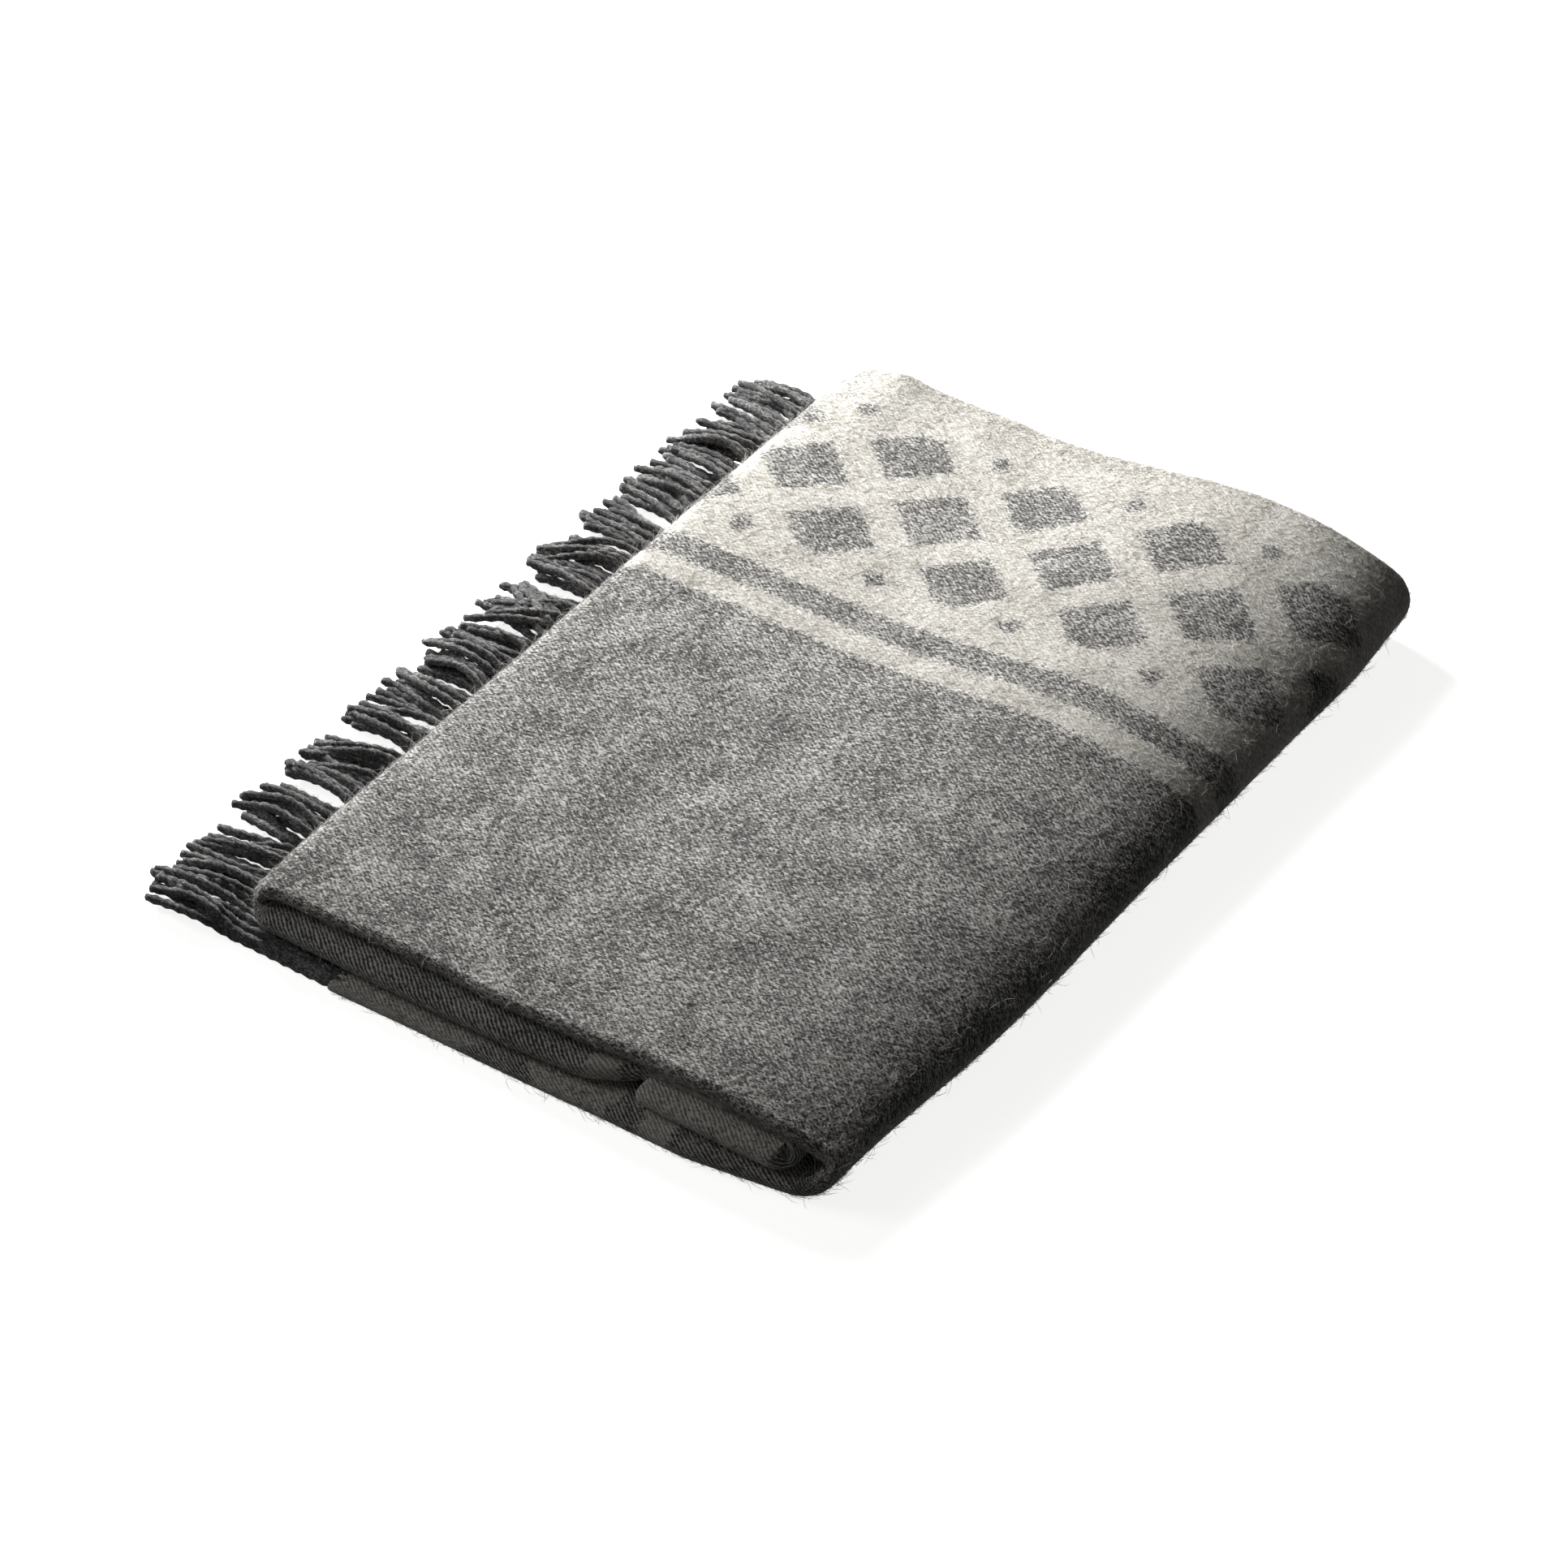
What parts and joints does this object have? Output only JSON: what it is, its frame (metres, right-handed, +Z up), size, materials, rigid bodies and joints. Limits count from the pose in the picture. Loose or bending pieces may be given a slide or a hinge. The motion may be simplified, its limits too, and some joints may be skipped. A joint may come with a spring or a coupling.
{
  "type": "folded throw blanket",
  "caption": "Wool throw folded in half and then in three with a tucked end, fringed at both ends, lying flat with a soft outer fold that opens.",
  "frame": {"origin": "centre of the footprint, fringe included, on the surface that it lies on", "axes": "+Y along the leaves from their round lips to the selvedges, +X from the fringe to the outer fold, +Z up"},
  "size_m": [0.5142, 0.674, 0.0529],
  "materials": {
    "wool_cloth": "brushed",
    "fringe_wool": "twisted cord"
  },
  "bodies": {
    "lower_half": {"lower_leaf": "wool_cloth", "outer_fold": "wool_cloth", "lower_tassel_01": "fringe_wool", "lower_tassel_02": "fringe_wool", "lower_tassel_03": "fringe_wool", "lower_tassel_04": "fringe_wool", "lower_tassel_05": "fringe_wool", "lower_tassel_06": "fringe_wool", "lower_tassel_07": "fringe_wool", "lower_tassel_08": "fringe_wool", "lower_tassel_09": "fringe_wool", "lower_tassel_10": "fringe_wool", "lower_tassel_11": "fringe_wool", "lower_tassel_12": "fringe_wool", "lower_tassel_13": "fringe_wool", "lower_tassel_14": "fringe_wool", "lower_tassel_15": "fringe_wool", "lower_tassel_16": "fringe_wool", "lower_tassel_17": "fringe_wool", "lower_tassel_18": "fringe_wool", "lower_tassel_19": "fringe_wool", "lower_tassel_20": "fringe_wool", "lower_tassel_21": "fringe_wool", "lower_tassel_22": "fringe_wool", "lower_tassel_23": "fringe_wool", "lower_tassel_24": "fringe_wool", "lower_tassel_25": "fringe_wool", "lower_tassel_26": "fringe_wool"},
    "upper_half": {"top_leaf": "wool_cloth", "left_fold": "wool_cloth", "inner_leaf": "wool_cloth", "inner_fold": "wool_cloth", "tucked_end": "wool_cloth", "tucked_tassel_01": "fringe_wool", "tucked_tassel_02": "fringe_wool", "tucked_tassel_03": "fringe_wool", "tucked_tassel_04": "fringe_wool", "tucked_tassel_05": "fringe_wool", "tucked_tassel_06": "fringe_wool", "tucked_tassel_07": "fringe_wool", "tucked_tassel_08": "fringe_wool", "tucked_tassel_09": "fringe_wool", "tucked_tassel_10": "fringe_wool", "tucked_tassel_11": "fringe_wool", "tucked_tassel_12": "fringe_wool", "tucked_tassel_13": "fringe_wool", "tucked_tassel_14": "fringe_wool", "tucked_tassel_15": "fringe_wool", "tucked_tassel_16": "fringe_wool", "tucked_tassel_17": "fringe_wool", "tucked_tassel_18": "fringe_wool", "tucked_tassel_19": "fringe_wool", "tucked_tassel_20": "fringe_wool", "tucked_tassel_21": "fringe_wool", "tucked_tassel_22": "fringe_wool", "tucked_tassel_23": "fringe_wool", "tucked_tassel_24": "fringe_wool", "tucked_tassel_25": "fringe_wool", "tucked_tassel_26": "fringe_wool"}
  },
  "joints": [
    {"name": "outer_fold_opening", "type": "hinge", "parent": "lower_half", "child": "upper_half", "pos_m": [0.25715, 0, 0.02945], "axis": [0, 1, 0], "range_deg": [0, 180], "deforming": ["outer_fold"]}
  ]
}
